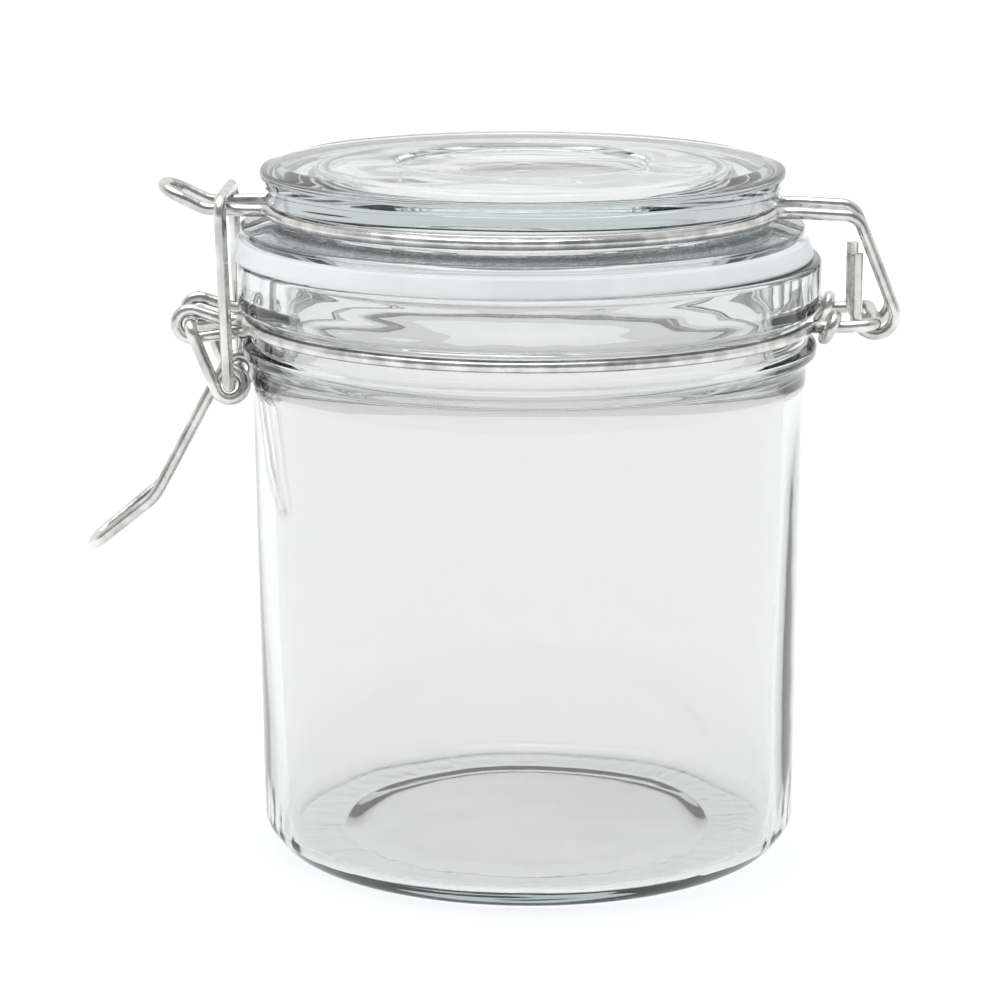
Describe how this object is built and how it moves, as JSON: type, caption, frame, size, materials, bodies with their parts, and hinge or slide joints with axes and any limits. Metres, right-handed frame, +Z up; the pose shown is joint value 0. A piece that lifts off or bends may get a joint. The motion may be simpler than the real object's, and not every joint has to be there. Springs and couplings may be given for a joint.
{
  "type": "clip-top jar",
  "caption": "Clear glass storage jar with a hinged glass lid, rubber sealing ring and wire bail closure, latched shut and empty.",
  "frame": {"origin": "on the jar's axis, at the level of the ring it stands on", "axes": "+Z up along the jar's axis, +X towards the hinge, -X towards the clasp"},
  "size_m": [0.1402, 0.1, 0.1192],
  "materials": {
    "jar_glass": "clear pressed glass",
    "lid_glass": "clear pressed glass, faint blue-green tint",
    "gasket": "smooth, slightly translucent",
    "wire": "bright plated steel wire"
  },
  "bodies": {
    "jar": {"jar_glass": "jar_glass", "neck_wire": "wire"},
    "lid": {"lid_glass": "lid_glass", "gasket": "gasket", "lid_wire": "wire"},
    "lever": {"lever": "wire"},
    "bail": {"bail": "wire"}
  },
  "joints": [
    {"name": "lid_hinge", "type": "hinge", "parent": "jar", "child": "lid", "pos_m": [0.0589, 0, 0.09285], "axis": [0, 1, 0], "range_deg": [0, 210], "deforming": ["bail"]},
    {"name": "lever_pivot", "type": "hinge", "parent": "jar", "child": "lever", "pos_m": [-0.05765, 0, 0.0917], "axis": [0, 1, 0], "range_deg": [0, 80], "deforming": ["bail"]},
    {"name": "bail_swing", "type": "hinge", "parent": "lever", "child": "bail", "pos_m": [-0.05089, 0, 0.0815], "axis": [0, -1, 0], "range_deg": [0, 120], "deforming": ["bail"]}
  ],
  "couplings": [
    {"joint": "bail_swing", "follows": "lever_pivot", "ratio": 1.5}
  ]
}
